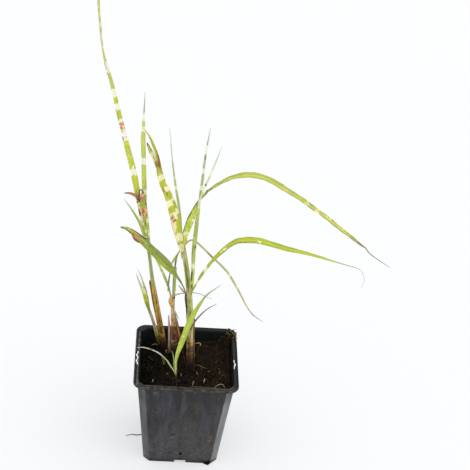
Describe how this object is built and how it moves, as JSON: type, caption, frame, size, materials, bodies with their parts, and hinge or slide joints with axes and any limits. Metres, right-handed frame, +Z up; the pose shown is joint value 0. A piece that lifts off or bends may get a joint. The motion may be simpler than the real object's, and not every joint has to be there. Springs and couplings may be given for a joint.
{
  "type": "potted miscanthus grass clump",
  "caption": "Young zebra-banded ornamental grass, a loose clump of leafy shoots with arching blades, growing in a small square black nursery pot.",
  "frame": {"origin": "middle of the foot pad under the pot, on the surface that the pot stands on", "axes": "+X to the right of the side that the picture shows, +Y to the back, +Z up"},
  "size_m": [0.2574, 0.09, 0.446],
  "materials": {
    "black_plastic": "matt black moulded plastic, dusty and scuffed",
    "compost": "dark crumbly potting compost",
    "root_crumbs": "brown crumbs of compost and fine root",
    "ochre_stalk": "rolled leaf sheaths, ochre below and green above",
    "green_stalk": "rolled leaf sheaths, yellow-green",
    "brown_sheath": "dead papery leaf base, brown",
    "straw_sheath": "dead papery leaf base, straw coloured",
    "banded_blade": "grass blade, yellow-green with pale cross bands",
    "olive_blade": "thin grass blade, olive green",
    "dry_blade": "withered grass blade, grey-brown"
  },
  "bodies": {
    "root": {"pot": "black_plastic", "soil": "compost", "root_clump": "root_crumbs", "left_stem": "ochre_stalk", "left_old_sheath": "brown_sheath", "left_tall_leaf": "banded_blade", "left_upright_leaf": "banded_blade", "left_withered_tip": "dry_blade", "left_slender_leaf": "olive_blade", "young_stem": "green_stalk", "young_leaf_left": "olive_blade", "young_leaf_right": "olive_blade", "middle_stem": "ochre_stalk", "middle_old_sheath_right": "brown_sheath", "middle_old_sheath_left": "straw_sheath", "middle_thin_leaf": "olive_blade", "middle_dark_leaf": "olive_blade", "dead_thread_leaf": "dry_blade", "centre_stem": "green_stalk", "centre_old_sheath": "brown_sheath", "centre_tan_sheath": "straw_sheath", "banded_leaf": "banded_blade", "slender_back_leaf": "banded_blade", "upper_arching_leaf": "banded_blade", "broad_leaf": "banded_blade", "drooping_leaf": "olive_blade", "lower_arching_leaf": "banded_blade", "short_brown_leaf": "dry_blade", "right_stem": "green_stalk", "right_leaf_back": "banded_blade", "right_leaf_front": "banded_blade", "front_leaf": "banded_blade", "front_spike": "olive_blade", "front_dry_leaf": "dry_blade"}
  },
  "joints": []
}
